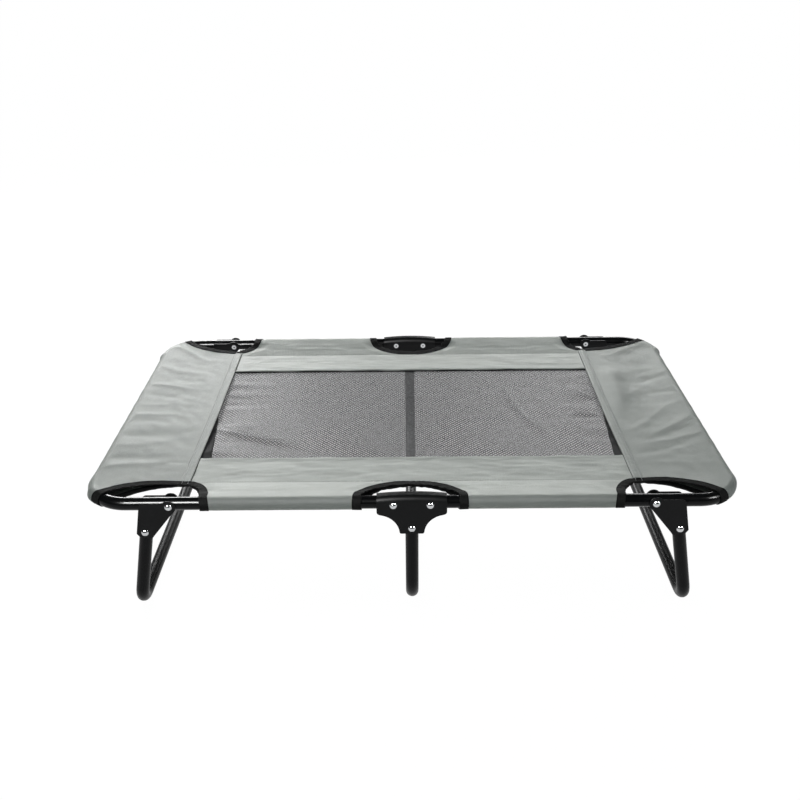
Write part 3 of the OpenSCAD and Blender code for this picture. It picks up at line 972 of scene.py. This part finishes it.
def mesh_hem_and_painted_shade(side):
    """The mesh's turned end, which comes out from under the seam towards the front. Its dark colour
    is partly painted shade.
    """
    front = MESH_HALF_W - MESH_UNDER

    def shape(u, v):
        y = -front + u * (HEM_END_Y + front)
        wave = 0.0006 * ripple(y, SIDES[side], size=0.02, seed=41.0)
        shows = HEM_SHOWS[side] * (1 - u) ** 0.9 + wave
        return dark_strip_point(side, SEAM_X - FOLD_IN - shows + v * (shows + FOLD_IN), y)

    columns, rows = 40, 6
    turned = SIDES[side] < 0
    piece = grid_sheet(f"{side}_mesh_hem_and_painted_shade", columns, rows, shape, HEM_AND_PAINTED_SHADOW, DARK_STRIP_T, turned)
    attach(piece, side + "_half")


def rear_hem_painted_shadow(side):
    """A dark strip along the rear hem: painted shadow of the hem's edge on the mesh."""
    hem_y = RAIL_Y - MESH_D
    reach = SEAM_X - FOLD_IN

    def shape(u, v):
        x = u * reach
        shows = REAR_SHADOW_SHOWS * (1 + 0.2 * ripple(SIDES[side] * x, 0, size=0.04, seed=43.0))
        return dark_strip_point(side, x, hem_y - shows + v * (shows + REAR_SHADOW_UNDER))

    name = f"{side}_rear_backing"
    columns, rows = 120, 3
    turned = SIDES[side] < 0
    piece = grid_sheet(name, columns, rows, shape, HEM_AND_PAINTED_SHADOW, DARK_STRIP_T, turned)
    join_at_middle(piece)
    fold_with(piece)


# Seams and stitching

# Offset from the seam line and height, over the folded edge
FOLD_PROFILE = [
    (-FOLD_IN, -0.0006), (-FOLD_IN - 0.0002, 0.0008), (-FOLD_IN + 0.0004, 0.0017),
    (-FOLD_IN + 0.0016, 0.0019), (-FOLD_IN + 0.0028, 0.0012), (-FOLD_IN + 0.0042, 0.0018),
    (0.001, 0.0020), (0.004, 0.0019), (FOLD_OUT - 0.0042, 0.0018), (FOLD_OUT - 0.0028, 0.0010),
    (FOLD_OUT - 0.0014, 0.0016), (FOLD_OUT - 0.0004, 0.0013), (FOLD_OUT + 0.0002, 0.0006),
    (FOLD_OUT, 0.0),
]
FOLD_T = 0.0006
# How far the seam bows outward at the front, and over which length
SEAM_BOW = 0.003
SEAM_BOW_L = 0.26
# The fold's outer part lies flatter on the left panel
FOLD_LIFT = {"left": 0.5, "right": 1.0}
# The stitches lie in the grooves of the profile
FOLD_STITCHES = (-FOLD_IN + 0.0028, FOLD_OUT - 0.0028)
# How far the painted shadow shows beside the fold, and runs in under it
FOLD_SHADOW_SHOWS = {"left": 0.0013, "right": 0.0008}
FOLD_SHADOW_UNDER = 0.002
FOLD_SHADOW_H = 0.0011
FOLD_SHADOW_T = 0.0005


def fold_point(side, offset, y, height):
    """A point on the folded seam, which bows outward to the front."""
    sx = SIDES[side]
    bow = SEAM_BOW * smooth(-y / SEAM_BOW_L) + 0.0006 * ripple(y, sx, size=0.05, seed=31.0)
    slope = PANEL_STRAIGHT * CLOTH_R / PANEL_X * max(0.0, offset)
    return Vector((sx * (SEAM_X + offset + bow), y, RAIL_Z + slope + height))


def seam_fold(side):
    """The folded and sewn edge between an end panel and the middle."""
    last = len(FOLD_PROFILE) - 1

    def shape(u, v):
        offset, height = FOLD_PROFILE[round(v * last)]
        height *= FOLD_LIFT[side] if offset > 0 else 1
        y = seam_y(u)
        pucker = 1 + 0.3 * ripple(y, offset * 0.5, size=0.005, seed=33.0)
        return fold_point(side, offset, y, height * pucker), (y, offset)

    columns = 300
    turned = SIDES[side] < 0
    # The fold takes the panels' darker fabric, which is painted shade
    piece = grid_sheet(f"{side}_seam_fold", columns, last, shape, SHADED_PANEL_FABRIC, FOLD_T, turned)
    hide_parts(f"{side}_seam")
    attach(piece, side + "_half")


def seam_painted_shadow(side):
    """A dark strip all along the fold: painted shadow under the fold's edge."""
    spread = (-FOLD_SHADOW_SHOWS[side], 0.0, FOLD_SHADOW_UNDER)
    last = len(spread) - 1

    def shape(u, v):
        y = seam_y(u)
        shows = spread[round(v * last)] * (1 + 0.25 * ripple(y, 0, size=0.03, seed=37.0))
        return fold_point(side, shows - FOLD_IN, y, FOLD_SHADOW_H), (shows, y)

    name = f"{side}_seam_painted_shadow"
    columns = 200
    turned = SIDES[side] < 0
    piece = grid_sheet(name, columns, last, shape, HEM_AND_PAINTED_SHADOW, FOLD_SHADOW_T, turned)
    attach(piece, side + "_half")


STITCH_L = 0.0031
STITCH_GAP = 0.0043
STITCH_W = 0.0009
# Rows of stitches in each hem, from the mesh, and beside the sleeve's stitch line
HEM_STITCHES = {"front": (0.002, GROOVE_AT), "rear": (GROOVE_AT,)}
SLEEVE_STITCHES = -0.0012
STITCH_LIFT = CLOTH_T / 2 + 0.0001
FOLD_STITCH_H = 0.0017
# The rows on the seams run on over the tape of the openings
SEAM_PAST = {"front": 0.009, "rear": 0.006}


def sew(bm, line, length):
    """Stitches along line(share), which gives a point on the cloth."""
    count = int(length / STITCH_GAP)
    size = Matrix.Diagonal((STITCH_L / 2, STITCH_W / 2, STITCH_W / 2, 1))
    for index in range(count):
        here, ahead = line((index + 0.2) / count), line((index + 0.8) / count)
        turn = (ahead - here).normalized().to_track_quat("X", "Z").to_matrix().to_4x4()
        matrix = Matrix.Translation((here + ahead) / 2) @ turn @ size
        bmesh.ops.create_icosphere(bm, subdivisions=1, radius=1, matrix=matrix)


def strip_stitching(side, end):
    bm = bmesh.new()
    reach = SEAM_X - FOLD_IN
    for travel in [distance - FLAT_L for distance in HEM_STITCHES[end]] + [SLEEVE_STITCHES]:
        def row(share, travel=travel):
            return strip_point(share * reach, travel, side, end, STITCH_LIFT)
        sew(bm, row, reach)
    piece = new_piece(f"{side}_{end}_stitching", bm, THREAD)
    fold_with(piece)


def seam_stitching(side):
    bm = bmesh.new()
    front, rear = seam_half(-1) + SEAM_PAST["front"], seam_half(1) + SEAM_PAST["rear"]
    for offset in FOLD_STITCHES:
        def row(share, offset=offset):
            return fold_point(side, offset, -front + share * (front + rear), FOLD_STITCH_H)
        sew(bm, row, front + rear)
    piece = new_piece(f"{side}_seam_stitching", bm, THREAD)
    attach(piece, side + "_half")


for side in SIDES:
    end_panel(side)
    mesh_panel(side)
    mesh_hem_and_painted_shade(side)
    rear_hem_painted_shadow(side)
    seam_fold(side)
    seam_painted_shadow(side)
    seam_stitching(side)
    for end in ENDS:
        side_strip(side, end)
        strip_stitching(side, end)
        panel_tape(side, end)
        notch_tape(side, end)
        sleeve_tape(side, end)

# Steel
COATS = {"rivets": RIVET, "frame_tube": TUBE, "leg_tube": LEG, "bracket": PLATE}
for name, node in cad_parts.items():
    for ending, material in COATS.items():
        if name.endswith(ending):
            node.data.materials.clear()
            node.data.materials.append(material)

# Camera, where the photograph was taken from, with its angles in radians
CAMERA_AT = Vector((-0.0052, -1.5988, 1.0505))
CAMERA_DOWN = 0.469
CAMERA_TURN = -0.0095
CAMERA_ROLL = -0.0125
SENSOR_W = 36
LENS_L = 41.18

ahead = Vector((
    math.sin(CAMERA_TURN) * math.cos(CAMERA_DOWN),
    math.cos(CAMERA_TURN) * math.cos(CAMERA_DOWN),
    -math.sin(CAMERA_DOWN),
))
level = Vector((math.cos(CAMERA_TURN), -math.sin(CAMERA_TURN), 0))
above = level.cross(ahead)
right = math.cos(CAMERA_ROLL) * level + math.sin(CAMERA_ROLL) * above
upward = -math.sin(CAMERA_ROLL) * level + math.cos(CAMERA_ROLL) * above

lens = bpy.data.cameras.new("camera")
lens.sensor_width = SENSOR_W
lens.lens = LENS_L
camera = bpy.data.objects.new("camera", lens)
facing = Matrix((right, upward, -ahead)).transposed().to_4x4()
camera.matrix_world = Matrix.Translation(CAMERA_AT) @ facing
bpy.context.scene.collection.objects.link(camera)
bpy.context.scene.camera = camera


# Floor, world and lamps

# The floor is white in mirrors and, for the most part, to the camera
FLOOR_LIGHT = 1.04
FLOOR_WHITE = 0.95
# Light from all round, the share by which it is stronger from the rear and weaker from the
# front, and the dark room that mirrors see
ROOM_LIGHT = 0.285
ROOM_SLOPE = 0.4
ROOM_TINT = (0.90, 0.98, 1.0, 1.0)
MIRRORED_LIGHT = 0.08


def floor():
    bm = bmesh.new()
    bmesh.ops.create_grid(bm, x_segments=1, y_segments=1, size=40)
    mesh = bpy.data.meshes.new("floor")
    bm.to_mesh(mesh)
    bm.free()
    paint = Paint("floor")
    paint.finish(base_color=grey(0.88), roughness=0.9, specular_ior_level=0.0)
    plain = Value(paint, paint.bsdf.outputs[0])
    white = paint.node("Emission", {}, {"Color": grey(1.0), "Strength": FLOOR_LIGHT})
    mirrored = paint.path_mix(plain, white, "Is Glossy Ray")
    seen = paint.path_mix(mirrored, white, "Is Camera Ray", FLOOR_WHITE)
    paint.plug(paint.tree.nodes["Material Output"].inputs[0], seen)
    mesh.materials.append(paint.material)
    ground = bpy.data.objects.new("floor", mesh)
    bpy.context.scene.collection.objects.link(ground)


def lamp(name, at, aim, size, watts, diffuse=True, gloss=True):
    light = bpy.data.lights.new(name, "AREA")
    light.shape = "ELLIPSE"
    light.size, light.size_y = size
    light.energy = watts
    holder = bpy.data.objects.new(name, light)
    holder.location = at
    holder.rotation_euler = (Vector(aim) - Vector(at)).to_track_quat("-Z", "Y").to_euler()
    holder.visible_camera = False
    holder.visible_diffuse = diffuse
    holder.visible_glossy = gloss
    bpy.context.scene.collection.objects.link(holder)


def studio():
    world = bpy.data.worlds.new("studio")
    world.use_nodes = True
    nodes = Nodes(world.node_tree)

    def background(strength, colour=grey(1.0)):
        return nodes.node("Background", {}, {"Color": colour, "Strength": strength})

    _, to_rear, _ = nodes.split(nodes.node("TexCoord", output="Generated"))
    room = background(ROOM_LIGHT + ROOM_LIGHT * ROOM_SLOPE * to_rear, ROOM_TINT)
    dim = nodes.path_mix(room, background(MIRRORED_LIGHT), "Is Glossy Ray")
    seen = nodes.path_mix(dim, background(1.0), "Is Camera Ray")
    nodes.plug(nodes.tree.nodes["World Output"].inputs[0], seen)
    bpy.context.scene.world = world


floor()
studio()
lamp("rear_left", at=(-1.15, 2.60, 1.02), aim=(-0.3, 0.1, 0.22), size=(1.3, 0.6), watts=66)
lamp("rear_right", at=(0.80, 2.60, 1.02), aim=(0.2, 0.1, 0.22), size=(1.3, 0.6), watts=28)
lamp("above", at=(-0.45, -0.35, 1.50), aim=(-0.3, -0.2, 0.22), size=(0.6, 0.6), watts=3,
     gloss=False)
# These two show only as highlights on the steel and the cloth
lamp("streak", at=(-0.95, -1.75, 1.75), aim=(-0.45, -0.33, 0.22), size=(0.6, 0.7), watts=190,
     diffuse=False)
lamp("glint", at=(1.90, -1.20, 1.50), aim=(0.5, -0.3, 0.22), size=(0.5, 0.7), watts=60,
     diffuse=False)
bpy.context.scene.view_settings.view_transform = "Standard"
